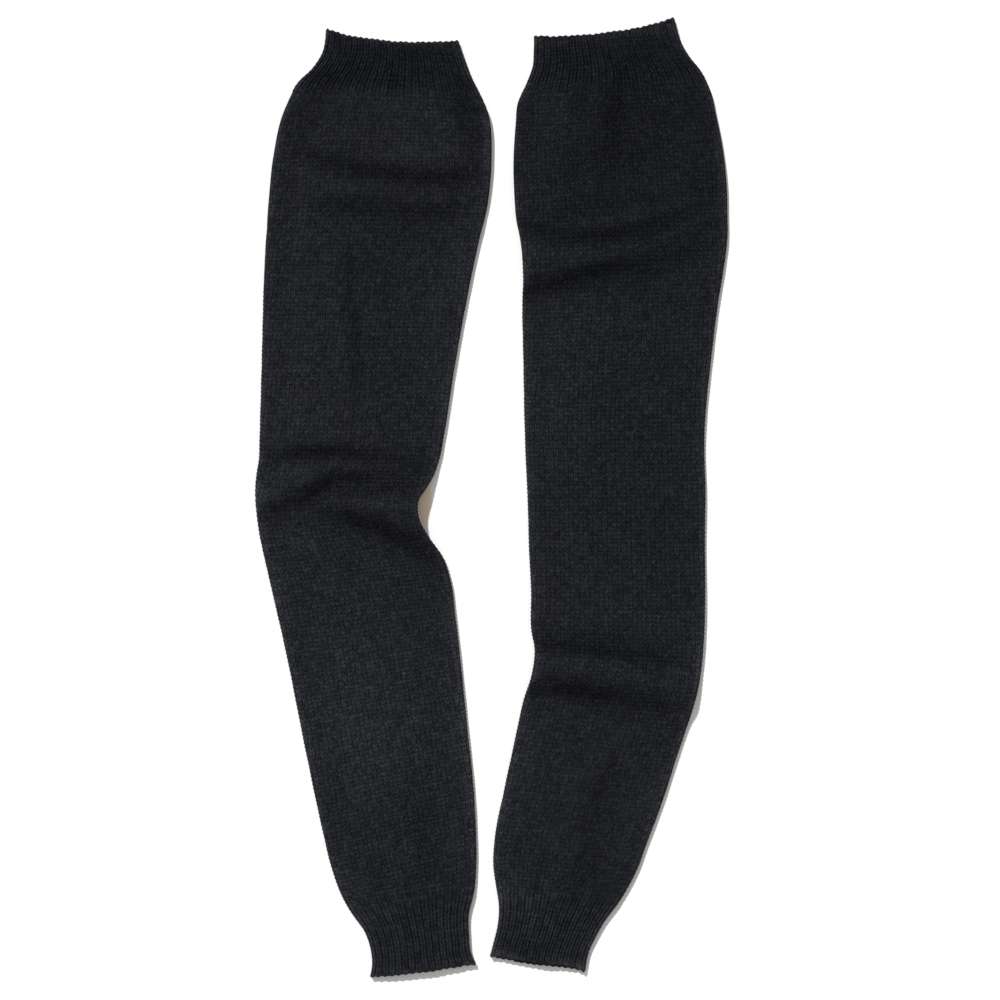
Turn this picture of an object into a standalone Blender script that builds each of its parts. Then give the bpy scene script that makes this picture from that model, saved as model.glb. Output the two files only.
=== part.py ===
"""A pair of long knitted knee warmers, laid flat side by side.

Each warmer is one seamless knitted tube in three pieces: a ribbed top, a plain leg and a
ribbed ankle. The tube lies flattened, front layer on back layer, with a rounded fold down
each side. +X runs across the pair, +Y from the ankles to the tops and +Z up from the
surface that the pair lies on. Lengths in the tables are in millimetres, angles in degrees.
"""

import math
from collections import namedtuple

import bpy
import numpy as np

MM = 0.001

# Cloth
WALL = 1.5          # thickness of the knitted wall
SLIT = 0.6          # air between the two layers
SIDE_FOLD = 1.8     # reach of a rounded side fold past the flat layers
INNER_FOLD = 0.3    # the same fold seen from inside the tube
CROWN = 1.2         # rise of the front layer along its middle
SEAM_GAP = 0.4      # gap that parts a ribbed piece from the leg
TOP_RIB_LENGTH = 37.0
ANKLE_RIB_LENGTH = 44.0
TOP_RIBS = 24       # ribs across the front of the top
ANKLE_RIBS = 16     # ribs across the front of the ankle
RIB_DEPTH = 0.7
RIB_PROFILE = ((0.0, 0.0), (0.3, 1.0), (0.7, 1.0))  # place across one rib, share of the depth

# Middle of the pair's outline in the tables' own coordinates
PAIR_MIDDLE = (0.3, 0.1)

# Spacing of points
FOLD_ROWS = 5.5     # between sections where a fold crosses the leg
PLAIN_ROWS = 18.0   # between sections where the leg is plain
RIB_ROWS = 7.0      # between sections of a ribbed piece
FOLD_MARGIN = 9.0   # how far past a fold its close rows go on
FRONT_POINTS = 17   # across the front of a leg
BACK_POINTS = 7
SIDE_POINTS = 2     # between front and back, round a side fold
INSIDE_POINTS = 11  # across each layer inside the tube
LAYER_SHARE = 0.88  # share of the way round a ring that goes over its two layers

# Ends of folds
FOLD_FADE = 34.0    # length over which a long fold dies out at each end
MOUTH_FADE = 14.0   # length over which the shape of a mouth dies out
EAR_POWER = 6       # how close to its corner an ear of a mouth stays

# Colours and finish, linear RGB
COLOURS = {
    "rib_knit": (0.0125, 0.0133, 0.0166, 1.0),
    "plain_knit": (0.0140, 0.0150, 0.0185, 1.0),
}
ROUGHNESS = 0.95

# One flat section of a tube: its middle, its width over both side folds, and how far its
# line is turned from straight across, anticlockwise. Rows run from the top to the ankle.
Section = namedtuple("Section", "x y width turn")

LEFT_SECTIONS = (
    Section(-62.2, 289.3, 83.8, -4.0),
    Section(-61.2, 279.0, 89.2, -3.0),
    Section(-62.3, 267.5, 100.6, -3.0),
    Section(-64.2, 257.5, 115.5, -3.5),
    Section(-65.5, 245.0, 127.8, -1.5),
    Section(-68.3, 213.5, 138.3, -0.5),
    Section(-70.8, 187.0, 138.6, -0.5),
    Section(-75.5, 155.5, 133.5, -0.5),
    Section(-84.1, 77.0, 121.3, 0.0),
    Section(-87.5, 40.0, 116.6, -0.3),
    Section(-89.5, 23.0, 113.8, -0.3),
    Section(-92.3, 12.2, 111.6, 0.0),
    Section(-94.3, 5.5, 108.4, 0.5),
    Section(-96.4, -6.5, 102.6, 4.0),
    Section(-95.4, -17.5, 101.8, 5.5),
    Section(-91.3, -29.5, 105.0, 6.0),
    Section(-85.4, -42.5, 110.7, 6.0),
    Section(-80.9, -58.5, 112.2, 6.5),
    Section(-76.7, -81.5, 109.9, 7.5),
    Section(-65.0, -156.0, 103.0, 11.5),
    Section(-58.9, -195.0, 98.8, 12.0),
    Section(-55.0, -221.5, 94.0, 13.0),
    Section(-52.0, -239.0, 88.2, 12.5),
    Section(-49.3, -254.5, 79.2, 9.5),
    Section(-46.7, -268.0, 67.0, 9.0),
    Section(-44.6, -281.0, 63.0, 7.5),
    Section(-43.8, -289.5, 63.0, 7.0),
    Section(-42.8, -297.6, 67.6, 7.5),
)

RIGHT_SECTIONS = (
    Section(71.3, 294.3, 89.2, 6.5),
    Section(73.3, 283.0, 93.6, 4.0),
    Section(75.5, 274.5, 99.2, 3.5),
    Section(77.2, 264.5, 110.5, 4.0),
    Section(77.5, 252.5, 122.0, 3.5),
    Section(78.5, 238.0, 126.8, 3.0),
    Section(79.9, 218.5, 131.9, 2.5),
    Section(81.6, 190.0, 134.6, 2.3),
    Section(82.4, 176.0, 133.4, 2.0),
    Section(83.6, 165.0, 131.3, 2.0),
    Section(83.3, 142.0, 126.9, 2.0),
    Section(81.4, 122.0, 124.0, 1.8),
    Section(79.9, 94.5, 119.9, 1.5),
    Section(77.9, 30.0, 113.0, 0.5),
    Section(78.9, 5.0, 112.6, 0.5),
    Section(79.2, -30.0, 111.2, 0.5),
    Section(80.0, -60.0, 110.1, 0.0),
    Section(79.7, -81.5, 109.8, -0.5),
    Section(80.2, -100.0, 106.1, -2.5),
    Section(78.2, -114.5, 106.0, -3.5),
    Section(73.6, -130.5, 106.4, -4.5),
    Section(66.5, -156.0, 103.5, -5.0),
    Section(57.4, -190.0, 100.0, -4.3),
    Section(50.0, -216.0, 95.8, -3.5),
    Section(46.6, -232.0, 91.2, -3.0),
    Section(41.9, -250.5, 78.0, -6.5),
    Section(38.2, -262.5, 67.6, -7.5),
    Section(34.6, -274.0, 62.2, -7.5),
    Section(31.4, -283.5, 60.6, -6.0),
    Section(29.3, -292.5, 61.0, -6.5),
)

# One soft ridge of the front layer: its crest's ends, how far the crest bows to the left of
# the way from start to end, its height at the start and at the end, and the half width of
# its gentle side (left of that way) and of its steep side (right of it).
Fold = namedtuple("Fold", "start_x start_y end_x end_y bow rise end_rise gentle steep")

LEFT_FOLDS = (
    Fold(-132.0, 229.0, 6.0, 211.0, -12.0, 6.2, 7.2, 32.0, 8.5),     # under the top, first
    Fold(-126.0, 193.0, 0.0, 189.0, -5.5, 4.4, 6.0, 19.0, 8.5),      # under the top, second
    Fold(-150.0, 28.0, -38.0, 25.0, 8.0, 6.0, 6.2, 26.0, 7.5),       # above the knee
    Fold(-168.0, -23.0, -52.0, 17.5, 14.0, 4.8, 6.6, 10.0, 8.0),     # round the knee
    Fold(-96.0, 13.0, -34.0, 19.5, 0.0, 4.4, 4.4, 16.0, 8.5),        # above the notch
    Fold(-128.0, 4.0, -14.0, -38.0, 4.0, 6.4, 7.8, 13.0, 8.5),       # into the notch
    Fold(-84.0, 56.0, -95.0, 182.0, 0.0, 2.0, 2.2, 13.0, 5.0),       # down the thigh
    Fold(-126.0, -8.0, -82.0, -27.0, 0.0, 1.8, 1.8, 7.0, 5.0),       # wrinkle under the knee
    Fold(-138.0, -28.0, -88.0, -42.0, 0.0, 2.2, 2.0, 5.5, 6.0),      # wrinkle below that
    Fold(-4.0, 220.0, -46.0, 274.0, 0.0, 3.0, 2.2, 12.0, 7.0),       # shoulder beside the top
)

RIGHT_FOLDS = (
    Fold(-12.0, 189.0, 146.0, 202.0, -24.0, 6.4, 6.8, 34.0, 9.0),    # under the top, first
    Fold(-14.0, 127.0, 150.0, 168.0, 2.0, 7.0, 5.0, 24.0, 9.0),      # under the top, second
    Fold(-12.0, -78.0, 142.0, -101.0, -1.0, 6.2, 4.6, 32.0, 8.5),    # over the calf, first
    Fold(-12.0, -112.0, 146.0, -133.0, 4.0, 6.6, 5.4, 15.0, 8.5),    # over the calf, second
    Fold(72.0, 172.0, 90.0, 304.0, 7.0, 2.0, 3.6, 14.0, 7.5),        # down from the top
    Fold(47.0, 182.0, 40.0, 222.0, -4.0, 1.2, 1.2, 10.0, 5.0),       # beside it
    Fold(30.0, -304.0, 66.0, -160.0, 0.0, 1.8, 2.4, 13.0, 8.0),      # down the ankle
    Fold(22.0, -226.0, 44.0, -227.0, 0.0, 1.4, 1.4, 6.0, 4.5),       # dimple over the ankle
)

# A place where both layers stand clear of the surface: its middle, height and half width
Lift = namedtuple("Lift", "x y rise spread")

LEFT_LIFTS = (Lift(-43.0, -5.0, 8.0, 15.0),)                         # at the knee's notch
RIGHT_LIFTS = ()

# How an open end leaves the straight line of its section: how far the middle draws in, how
# far each corner reaches out, and how far the front layer ends short of the back one.
Mouth = namedtuple("Mouth", "dip left_ear right_ear front_short")

LEFT_TOP_MOUTH = Mouth(1.8, 2.8, 1.2, 1.4)
LEFT_ANKLE_MOUTH = Mouth(-1.1, 0.0, 0.5, 0.3)
RIGHT_TOP_MOUTH = Mouth(2.0, 1.2, 2.8, 0.4)
RIGHT_ANKLE_MOUTH = Mouth(-1.6, 0.0, 2.4, 1.6)

Warmer = namedtuple("Warmer", "sections folds lifts top_mouth ankle_mouth")

PAIR = {
    "left": Warmer(LEFT_SECTIONS, LEFT_FOLDS, LEFT_LIFTS, LEFT_TOP_MOUTH, LEFT_ANKLE_MOUTH),
    "right": Warmer(RIGHT_SECTIONS, RIGHT_FOLDS, RIGHT_LIFTS, RIGHT_TOP_MOUTH, RIGHT_ANKLE_MOUTH),
}

# The points of a closed ring round a section. flat runs from -1 to 1 across the layers, bulge
# is the share of the side fold's reach, level is 0 on the back and 1 on the front, way is the
# share of the ring gone round, and relief the share of a rib's depth.
Ring = namedtuple("Ring", "flat bulge level way relief")


def clear_scene():
    """Remove every object that a new file holds."""
    for thing in list(bpy.data.objects):
        bpy.data.objects.remove(thing)


def distances(sections):
    """Distance of each section down the middle line of its tube."""
    middles = np.array([(row.x, row.y) for row in sections])
    steps = np.hypot(*np.diff(middles, axis=0).T)
    return np.concatenate([[0.0], np.cumsum(steps)])


def smooth_sections(sections, at):
    """Section values at the distances 'at', on a cubic through the table's rows.

    The slope at a row is the mean of the slopes of its two spans, each weighed by the
    length of the other one.
    """
    rows = np.array(sections, float)
    knots = distances(sections)
    spans = np.diff(knots)
    slopes = np.diff(rows, axis=0) / spans[:, None]
    tangents = np.empty_like(rows)
    before, after = spans[:-1, None], spans[1:, None]
    tangents[1:-1] = (slopes[:-1] * after + slopes[1:] * before) / (before + after)
    tangents[0], tangents[-1] = slopes[0], slopes[-1]
    span = np.clip(np.searchsorted(knots, at, side="right") - 1, 0, len(spans) - 1)
    t = ((at - knots[span]) / spans[span])[:, None]
    length = spans[span][:, None]
    return (
        (2 * t**3 - 3 * t**2 + 1) * rows[span]
        + (t**3 - 2 * t**2 + t) * length * tangents[span]
        + (3 * t**2 - 2 * t**3) * rows[span + 1]
        + (t**3 - t**2) * length * tangents[span + 1]
    )


def plain_front(points):
    """Places and relief of evenly spaced points across a plain front layer."""
    return np.linspace(-1.0, 1.0, points), np.zeros(points)


def ribbed_front(ribs):
    """Places and relief of the points across a front layer with raised ribs."""
    places = [(rib + place) / ribs for rib in range(ribs) for place, _ in RIB_PROFILE]
    relief = [share for _ in range(ribs) for _, share in RIB_PROFILE]
    return np.array(places + [1.0]) * 2.0 - 1.0, np.array(relief + [0.0])


def make_ring(front, back_points, side_points):
    """A ring that goes over the front, round the right side, under the back and up again."""
    places, relief = front
    turns = np.linspace(0.0, math.pi, side_points + 2)[1:-1]
    back = np.linspace(1.0, -1.0, back_points)
    down, up = (1 + np.cos(turns)) / 2, (1 - np.cos(turns)) / 2
    ones = np.ones(side_points)
    layer, side = LAYER_SHARE / 2, (1 - LAYER_SHARE) / 2
    front_way = (places + 1) / 2 * layer
    right_way = layer + turns / math.pi * side
    back_way = 0.5 + (1 - back) / 2 * layer
    left_way = 0.5 + right_way
    return Ring(
        flat=np.concatenate([places, ones, back, -ones]),
        bulge=np.concatenate([0 * places, np.sin(turns), 0 * back, -np.sin(turns)]),
        level=np.concatenate([0 * places + 1, down, 0 * back, up]),
        way=np.concatenate([front_way, right_way, back_way, left_way]),
        relief=np.concatenate([relief, 0 * ones, 0 * back, 0 * ones]),
    )


def smoothstep(x):
    """0 below 0, 1 above 1, and a soft step between."""
    x = np.clip(x, 0.0, 1.0)
    return x * x * (3.0 - 2.0 * x)


def fold_height(x, y, folds):
    """Height that the soft ridges add to the front layer at the points x, y.

    Across its crest a ridge is a bell curve with its own width on each side. Along it, the
    height runs from one end's value to the other's and dies out past both ends.
    """
    total = np.zeros_like(x)
    for fold in folds:
        way_x, way_y = fold.end_x - fold.start_x, fold.end_y - fold.start_y
        length = math.hypot(way_x, way_y)
        way_x, way_y = way_x / length, way_y / length
        along = (x - fold.start_x) * way_x + (y - fold.start_y) * way_y
        share = np.clip(along / length, 0.0, 1.0)
        crest = fold.bow * 4.0 * share * (1.0 - share)
        across = (y - fold.start_y) * way_x - (x - fold.start_x) * way_y - crest
        width = np.where(across > 0.0, fold.gentle, fold.steep)
        fade = min(FOLD_FADE, length / 2)
        ends = smoothstep(along / fade) * smoothstep((length - along) / fade)
        height = fold.rise + (fold.end_rise - fold.rise) * share
        total += height * ends * np.exp(-((across / width) ** 2))
    return total


def lift_height(x, y, lifts):
    """Height of the back layer over the surface at the points x, y."""
    total = np.zeros_like(x)
    for lift in lifts:
        total += lift.rise * np.exp(-((x - lift.x) ** 2 + (y - lift.y) ** 2) / lift.spread**2)
    return total


def mouth_reach(mouth, ring):
    """How far each point of a ring at an open end reaches past its section's line."""
    flat = np.clip(ring.flat, -1.0, 1.0)
    left = mouth.left_ear * ((1 - flat) / 2) ** EAR_POWER
    right = mouth.right_ear * ((1 + flat) / 2) ** EAR_POWER
    short = mouth.front_short * ring.level * (1 - flat**8)
    return left + right - mouth.dip * (1 - flat**2) - short


def tube_surface(warmer, ring, at, inside):
    """Points of the outer or the inner face of a tube, one row for each distance in 'at'.

    A point stands off its section's middle by its share of the flat half width and of the
    side fold, at its level between the back and the front face of the cloth.
    """
    values = smooth_sections(warmer.sections, at)
    centre_x, centre_y, width, turn = (values[:, [i]] for i in range(4))
    turn = np.radians(turn)
    reach = INNER_FOLD if inside else SIDE_FOLD
    off = (width / 2 - SIDE_FOLD) * ring.flat + reach * ring.bulge
    end = distances(warmer.sections)[-1]
    top_share = np.clip(1 - at / MOUTH_FADE, 0, 1)[:, None] ** 2
    ankle_share = np.clip(1 - (end - at) / MOUTH_FADE, 0, 1)[:, None] ** 2
    out = top_share * mouth_reach(warmer.top_mouth, ring)
    out = out - ankle_share * mouth_reach(warmer.ankle_mouth, ring)
    x = centre_x + off * np.cos(turn) - out * np.sin(turn)
    y = centre_y + off * np.sin(turn) + out * np.cos(turn)
    back = lift_height(x, y, warmer.lifts)
    front = back + 2 * WALL + SLIT + CROWN * (1 - ring.flat**2) + fold_height(x, y, warmer.folds)
    if inside:
        back, front = back + WALL, front - WALL
    z = back + ring.level * (front - back) + ring.relief * RIB_DEPTH
    middle_x, middle_y = PAIR_MIDDLE
    return np.stack([x - middle_x, y - middle_y, z], axis=2) * MM


def skin_faces(rows, columns, first, inward):
    """Triangles of a closed skin of rows x columns points, numbered from 'first'."""
    row, column = np.meshgrid(np.arange(rows - 1), np.arange(columns), indexing="ij")
    a = first + row * columns + column
    b = first + row * columns + (column + 1) % columns
    c, d = a + columns, b + columns
    halves = [np.stack(corners, 2).reshape(-1, 3) for corners in ((a, c, b), (b, c, d))]
    faces = np.concatenate(halves)
    return faces[:, ::-1] if inward else faces


def end_faces(outer_way, inner_way, outer_first, inner_first, flip):
    """Triangles that close one end of the wall, between its outer and its inner ring.

    Both rings are walked together, and the one that has gone the shorter way steps on.
    """
    outer_count, inner_count = len(outer_way), len(inner_way)
    outer_stops = np.append(outer_way, 1.0)
    inner_stops = np.append(inner_way, 1.0)
    faces = []
    i = j = 0
    while i < outer_count or j < inner_count:
        a = outer_first + i % outer_count
        b = inner_first + j % inner_count
        if j == inner_count or (i < outer_count and outer_stops[i + 1] <= inner_stops[j + 1]):
            i += 1
            faces.append((a, outer_first + i % outer_count, b))
        else:
            j += 1
            faces.append((a, inner_first + j % inner_count, b))
    faces = np.array(faces)
    return faces[:, ::-1] if flip else faces


def make_tube(name, knit, warmer, front, at):
    """Make one piece of a warmer as a closed wall round an open tube."""
    outer_ring = make_ring(front, BACK_POINTS, SIDE_POINTS)
    inner_ring = make_ring(plain_front(INSIDE_POINTS), INSIDE_POINTS, 1)
    outer = tube_surface(warmer, outer_ring, at, inside=False)
    inner = tube_surface(warmer, inner_ring, at, inside=True)
    rows, outer_count, inner_count = len(at), len(outer_ring.flat), len(inner_ring.flat)
    inner_first = rows * outer_count
    last_outer = inner_first - outer_count
    last_inner = inner_first + (rows - 1) * inner_count
    faces = np.concatenate([
        skin_faces(rows, outer_count, 0, inward=False),
        skin_faces(rows, inner_count, inner_first, inward=True),
        end_faces(outer_ring.way, inner_ring.way, 0, inner_first, flip=False),
        end_faces(outer_ring.way, inner_ring.way, last_outer, last_inner, flip=True),
    ])
    points = np.concatenate([outer.reshape(-1, 3), inner.reshape(-1, 3)])
    mesh = bpy.data.meshes.new(name)
    mesh.from_pydata(points.tolist(), [], faces.tolist())
    mesh.update()
    mesh.shade_smooth()
    mesh.set_sharp_from_angle(angle=math.radians(50.0))
    mesh.materials.append(make_material(knit))
    piece = bpy.data.objects.new(name, mesh)
    bpy.context.scene.collection.objects.link(piece)
    return piece


def make_material(knit):
    """The dark, dull yarn of one kind of knit, made once and shared by its pieces."""
    material = bpy.data.materials.get(knit)
    if material is None:
        material = bpy.data.materials.new(knit)
        material.use_nodes = True
        shader = material.node_tree.nodes["Principled BSDF"]
        shader.inputs["Base Color"].default_value = COLOURS[knit]
        shader.inputs["Roughness"].default_value = ROUGHNESS
        shader.inputs["Metallic"].default_value = 0.0
    return material


def rib_rows(start, end):
    """Evenly spaced distances along a ribbed piece."""
    return np.linspace(start, end, round((end - start) / RIB_ROWS) + 1)


def leg_rows(warmer, start, end):
    """Distances along a leg, close together where a fold crosses it."""
    fine = np.arange(start, end, 1.0)
    heights = smooth_sections(warmer.sections, fine)[:, 1]
    folded = np.zeros(len(fine), bool)
    for fold in warmer.folds:
        low = min(fold.start_y, fold.end_y) + min(fold.bow, 0.0) - FOLD_MARGIN
        high = max(fold.start_y, fold.end_y) + max(fold.bow, 0.0) + FOLD_MARGIN
        folded |= (heights > low) & (heights < high)
    density = np.where(folded, 1.0 / FOLD_ROWS, 1.0 / PLAIN_ROWS)
    counted = np.concatenate([[0.0], np.cumsum(density)])
    marks = np.append(fine, end)
    return np.interp(np.linspace(0.0, counted[-1], round(counted[-1]) + 1), counted, marks)


def make_warmer(side, warmer):
    """Make the ribbed top, the leg and the ribbed ankle of one warmer."""
    length = distances(warmer.sections)[-1]
    top_seam = TOP_RIB_LENGTH
    ankle_seam = length - ANKLE_RIB_LENGTH
    half_gap = SEAM_GAP / 2
    make_tube(
        f"{side}_top_rib", "rib_knit", warmer, ribbed_front(TOP_RIBS),
        rib_rows(0.0, top_seam - half_gap),
    )
    make_tube(
        f"{side}_leg", "plain_knit", warmer, plain_front(FRONT_POINTS),
        leg_rows(warmer, top_seam + half_gap, ankle_seam - half_gap),
    )
    make_tube(
        f"{side}_ankle_rib", "rib_knit", warmer, ribbed_front(ANKLE_RIBS),
        rib_rows(ankle_seam + half_gap, length),
    )


clear_scene()
for side_name, one_warmer in PAIR.items():
    make_warmer(side_name, one_warmer)
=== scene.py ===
"""Looks of a pair of long knitted knee warmers that lie flat, side by side.

Every visible piece is a grid of points worked out with numpy. A warmer is a tube that was
pressed flat: sections down its length give its middle, its width and its turn, folds raise
its front layer, and stitches or ribs stand out of its skin. Lengths in the tables and in
the shape functions are millimetres, and put_mesh turns them into metres.
"""

import math
from collections import namedtuple

import bpy
import numpy as np
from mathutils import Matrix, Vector


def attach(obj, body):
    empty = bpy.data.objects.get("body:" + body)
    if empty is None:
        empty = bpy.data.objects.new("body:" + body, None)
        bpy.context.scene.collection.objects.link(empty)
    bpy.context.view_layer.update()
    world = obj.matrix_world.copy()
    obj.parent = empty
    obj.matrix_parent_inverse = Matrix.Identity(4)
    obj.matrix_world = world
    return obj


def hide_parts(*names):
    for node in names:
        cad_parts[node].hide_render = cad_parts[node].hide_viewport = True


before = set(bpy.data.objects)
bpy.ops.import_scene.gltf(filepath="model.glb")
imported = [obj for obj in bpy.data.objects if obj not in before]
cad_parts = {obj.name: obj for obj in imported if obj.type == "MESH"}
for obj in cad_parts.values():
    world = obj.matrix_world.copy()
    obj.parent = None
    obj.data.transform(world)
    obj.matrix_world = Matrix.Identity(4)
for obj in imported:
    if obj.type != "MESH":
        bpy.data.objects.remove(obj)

bl_info = {
    "name": "Knitted knee warmers",
    "version": (1, 0, 0),
    "blender": (4, 5, 0),
    "location": "View3D > Sidebar > Knee warmers",
    "description": "Builds a pair of knitted knee warmers, laid flat, over its frame",
    "category": "Object",
}

MM = 0.001

# Cloth, as the frame has it
WALL = 1.5              # thickness of the knitted wall
SLIT = 0.6              # air between the two layers
SIDE_FOLD = 1.8         # reach of a rounded side fold past the flat layers
INNER_FOLD = 0.3        # the same fold seen from inside the tube
CROWN = 1.2             # rise of the front layer along its middle
TOP_RIB_LENGTH = 37.0
ANKLE_RIB_LENGTH = 44.0
TOP_RIBS = 48           # round the whole tube
ANKLE_RIBS = 32
PAIR_MIDDLE = (0.3, 0.1)    # middle of the pair's outline in the tables' own coordinates
FOLD_FADE = 34.0        # length over which a long fold dies out at each end
MOUTH_FADE = 14.0       # length over which the shape of a mouth dies out
EAR_POWER = 6           # how close to its corner an ear of a mouth stays

# Stitches
COURSE = 2.6            # one row of stitches along the tube
WALE_AT_TOP = 2.84      # one column of stitches across it
WALE_AT_ANKLE = 3.14
TOP_GATHER = 82.0       # distance down to which the top rib draws the wales together
ANKLE_GATHER = 86.0     # the same, up from the ankle's mouth
LEAN = 0.6              # how far the two strands of a stitch lean apart, in courses
GROOVE_START = 0.6      # share of a wale's half width where it starts to fall to its groove
LOOP_ROUND = 0.7        # power of the half sine that a modelled strand follows

# How a kind of knit is stitched: how deeply the two strands of a wale are parted (2 is as
# deep as the wales), the share of a loop that is drawn smooth, and how far the stitches of
# the material stray from even rows, in stitches
Stitching = namedtuple("Stitching", "parted drawn waver")

PLAIN = Stitching(1.92, 0.0, 0.9)
RIBBED = Stitching(2.0, 0.45, 0.3)

# Points of the leg
FRONT_WALES = 46        # that are modelled stitch by stitch
WALE_STEPS = 4          # columns of points to a wale
BACK_STEPS = 14         # columns on each side of the back's middle
BACK_GROWTH = 1.6       # power by which those columns grow wider
LEG_LAP = 0.8           # how far a leg runs on under the ribbed pieces
LEG_INSIDE_STEP = 8.0   # between rows inside a leg
EVEN_RELIEF = -0.5      # mean depth of the stitches, where none is modelled
SEAM_RELIEF = -0.8      # depth of the rows beside a seam
SEAM_BLEND = 5.0        # how far ribs and plain knit run into each other
STREAKS = 0.16          # how strongly the ribs show on in the leg
WEAK_STREAKS = 0.6      # strength of the slower of their two waves
LEG_SEAM_BLUR = 0.45    # how far the drawn stitches fade beside a seam
RIB_SEAM_BLUR = 0.35

# Points of the ribbed pieces
RIB_STEPS = 10          # columns of points to a rib
COURSE_STEPS = 4        # rows of points to a course
SEAM_EDGE = 0.1         # width of the last strip beside a seam, which keeps the edge crisp
RIM_STEPS = 6           # rows round the edge of a mouth
RIM_ROWS = (1.1, 1.5)   # close rows inside a mouth
INSIDE_START = 2.4      # where the wide rows inside it start
INSIDE_STEP = 4.0
RIB_RUN_OUT = 7.0       # over which the grooves run out towards the leg
RELIEF_START = 0.4      # from the mouth to where the ribs start to rise
RELIEF_RISE = 2.6       # over which they rise

# Uneven edge and shade of a mouth
RIM_LUMPS = 0.32        # how far single ribs stand out
LUMP_FADE = 2.4         # how far up they go
RIM_SEED = 7
RIM_WAY_ROWS = 16       # rows between the two whose points give the way along the tube
RIB_TONE = 0.95
LIP_LIGHT = 0.25         # painted light: how much lighter the very edge is
LIP_SPREAD = 0.9
LIP_BLUR = 0.8          # how far the drawn stitches fade there
LIP_FADE = 3.0
HOLLOW_SHADE = 0.7      # how much darker the inside is
HOLLOW_START = 0.9
HOLLOW_RISE = 0.6

# Noise in the yarn: features to a metre, finer octaves, and how strong those are
Noise = namedtuple("Noise", "scale detail roughness")

ACROSS_NOISE = Noise(250.0, 2.0, 0.6)   # sets stitches off their rows
ALONG_NOISE = Noise(330.0, 2.0, 0.6)
NAP_NOISE = Noise(2600.0, 3.0, 0.6)     # single fibres
FIBRE_NOISE = Noise(520.0, 3.0, 0.7)    # tufts of them
CLOUD_NOISE = Noise(105.0, 2.0, 0.6)
LINT_NOISE = Noise(1500.0, 2.0, 0.5)

# Look of the yarn. A tone is how many times lighter a place is, from the lowest value of
# what makes it so to the highest.
DRAWN_ROUND = 0.6       # power of a strand's curves in the material
# painted shade on a wale's flanks: tone from the flank to the crest
CREST_TONE = (0.66, 1.0)
STITCH_TONE = (0.73, 1.27)
FIBRE_TONE = (-0.3, 2.3)
CLOUD_TONE = (0.8, 1.2)
DARKEST_TONE = 0.1
DYE = (0.0, 0.0, 0.0017)        # what even the darkest yarn keeps of its colour
LINT_SHAPE = (1.0, 0.45, 1.0)   # draws the specks of lint out along Y
LINT_EDGE = (0.60, 0.72)        # noise at which a speck begins, and at which it is whole
NAP_ROUGHNESS = (0.86, 1.0)
YARN_SPECULAR = 0.06
SHEEN_ROUGHNESS = 0.55
PAINTED_EDGE_SHEEN = 1.1         # painted sheen: how much lighter both sides are, as fuzz there catches light
EDGE_SPREAD = 4.5

# Stage, in metres
FLOOR_DROP = 0.0004     # gap that keeps the floor clear of the undersides
FLOOR_HALF = 20.0
PAPER = (0.92, 0.9154, 0.9062, 1.0)
# painted shadow colour: a warm tint painted on the paper inside the shadow of the knee's notch
WARM_SHADOW_PAINT = (0.92, 0.76, 0.60, 1.0)
WARM_SHADOW_SPOT = (-0.0425, -0.0020)  # middle of the warm shadow colour painted in the shadow of the knee's notch
WARM_REACH = 0.0190
WARM_CORE = 0.6                 # share of the reach that is wholly warm
WARM_NARROW = 3.3               # how many times longer than wide that place is
PAPER_ROUGHNESS = 0.9
PAPER_SPECULAR = 0.2
SURROUND = (1.0, 0.985, 0.965, 1.0)
SUN_ANGLE = 2.5                 # in degrees
SENSOR = 36.0                   # width of the camera's sensor, in millimetres
VIEW_MIDDLE = (0.00537, -0.00168)

CUT_ROWS = 60           # at which a tube is measured round for its cut


def records(kind, table):
    """The rows of a table, each with its values named."""
    return tuple(kind(*row) for row in table)


# One flat section of a tube: its middle, its width over both side folds, and how far its
# line is turned from straight across, anticlockwise. Rows run from the top to the ankle.
Section = namedtuple("Section", "x y width turn")

LEFT_SECTIONS = records(Section, (
    (-62.2, 289.3, 83.8, -4),
    (-61.2, 279, 89.2, -3),
    (-62.3, 267.5, 100.6, -3),
    (-64.2, 257.5, 115.5, -3.5),
    (-65.5, 245, 127.8, -1.5),
    (-68.3, 213.5, 138.3, -0.5),
    (-70.8, 187, 138.6, -0.5),
    (-75.5, 155.5, 133.5, -0.5),
    (-84.1, 77, 121.3, 0),
    (-87.5, 40, 116.6, -0.3),
    (-89.5, 23, 113.8, -0.3),
    (-92.3, 12.2, 111.6, 0),
    (-94.3, 5.5, 108.4, 0.5),
    (-96.4, -6.5, 102.6, 4),
    (-95.4, -17.5, 101.8, 5.5),
    (-91.3, -29.5, 105, 6),
    (-85.4, -42.5, 110.7, 6),
    (-80.9, -58.5, 112.2, 6.5),
    (-76.7, -81.5, 109.9, 7.5),
    (-65, -156, 103, 11.5),
    (-58.9, -195, 98.8, 12),
    (-55, -221.5, 94, 13),
    (-52, -239, 88.2, 12.5),
    (-49.3, -254.5, 79.2, 9.5),
    (-46.7, -268, 67, 9),
    (-44.6, -281, 63, 7.5),
    (-43.8, -289.5, 63, 7),
    (-42.8, -297.6, 67.6, 7.5),
))

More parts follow.
